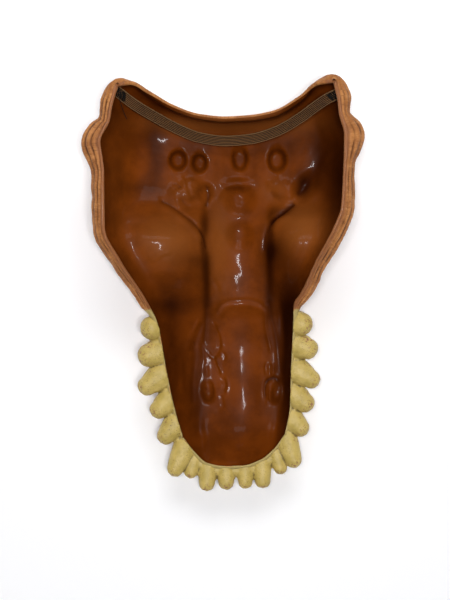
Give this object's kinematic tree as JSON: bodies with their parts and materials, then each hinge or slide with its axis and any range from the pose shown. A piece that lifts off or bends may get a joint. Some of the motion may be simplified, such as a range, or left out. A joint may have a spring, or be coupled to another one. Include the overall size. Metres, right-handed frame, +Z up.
{
  "type": "dinosaur half mask",
  "caption": "Moulded rubber dinosaur half mask, an open shell with a toothed snout and an elastic head strap, lying face down.",
  "frame": {"origin": "centre of the box that the mask fills, on the surface it lies on", "axes": "+X across the mask, +Y from the nose to the back of the head, +Z up out of the hollow, away from the face"},
  "size_m": [0.2587, 0.3867, 0.1181],
  "materials": {
    "skin_rubber": "glossy brown inside, matt tan wrinkled skin outside",
    "tooth_paint": "satin cream paint worn brown at the tips",
    "strap_elastic": "olive-brown ribbed woven elastic"
  },
  "bodies": {
    "root": {"mask_shell": "skin_rubber", "tooth_left_1": "tooth_paint", "tooth_left_2": "tooth_paint", "tooth_left_3": "tooth_paint", "tooth_left_4": "tooth_paint", "tooth_left_5": "tooth_paint", "tooth_left_6": "tooth_paint", "tooth_left_7": "tooth_paint", "tooth_left_8": "tooth_paint", "tooth_left_9": "tooth_paint", "tooth_right_1": "tooth_paint", "tooth_right_2": "tooth_paint", "tooth_right_3": "tooth_paint", "tooth_right_4": "tooth_paint", "tooth_right_5": "tooth_paint", "tooth_right_6": "tooth_paint", "tooth_right_7": "tooth_paint", "tooth_right_8": "tooth_paint", "tooth_right_9": "tooth_paint", "head_strap": "strap_elastic"}
  },
  "joints": []
}
